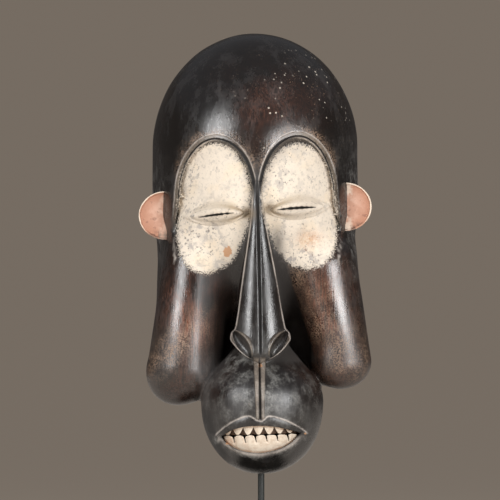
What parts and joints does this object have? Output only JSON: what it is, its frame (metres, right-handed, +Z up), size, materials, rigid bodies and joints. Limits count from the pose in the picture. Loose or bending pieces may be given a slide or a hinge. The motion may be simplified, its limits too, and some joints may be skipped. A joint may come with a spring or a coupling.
{
  "type": "carved wooden mask on stand",
  "caption": "Carved wooden face mask with sunken eye panels, pendulous cheeks, let-in ears and inlaid teeth, hung on a black steel display stand it lifts off.",
  "frame": {"origin": "on the underside of the felt, in the mask's middle plane and in the flat back plane that the mask's rim lies in", "axes": "+Z up, the mask faces -Y, +X is to the right of someone who looks at its face"},
  "size_m": [0.2114, 0.1801, 0.505],
  "materials": {
    "dark_wood": "near-black polished patina over reddish wood, kaolin in the eye panels",
    "ear_wood": "terracotta stain, matt, worn pale at the edge",
    "pale_wood": "whitened with kaolin, tan at the roots",
    "black_steel": "matt black lacquer",
    "bright_steel": "plain zinc",
    "felt": "black felt",
    "rubber": "matt black"
  },
  "bodies": {
    "stand": {"base_plate": "black_steel", "base_felt": "felt", "post": "black_steel", "post_collar": "black_steel", "base_screw": "bright_steel", "hook_sleeve": "rubber", "rest_bar": "black_steel", "left_bumper": "rubber", "right_bumper": "rubber"},
    "mask": {"mask_body": "dark_wood", "left_ear": "ear_wood", "right_ear": "ear_wood", "upper_teeth": "pale_wood", "lower_teeth": "pale_wood"}
  },
  "joints": [
    {"name": "mask_lift", "type": "slide", "parent": "stand", "child": "mask", "axis": [0, -0.5, 0.866], "range_m": [0, 0.3]}
  ]
}
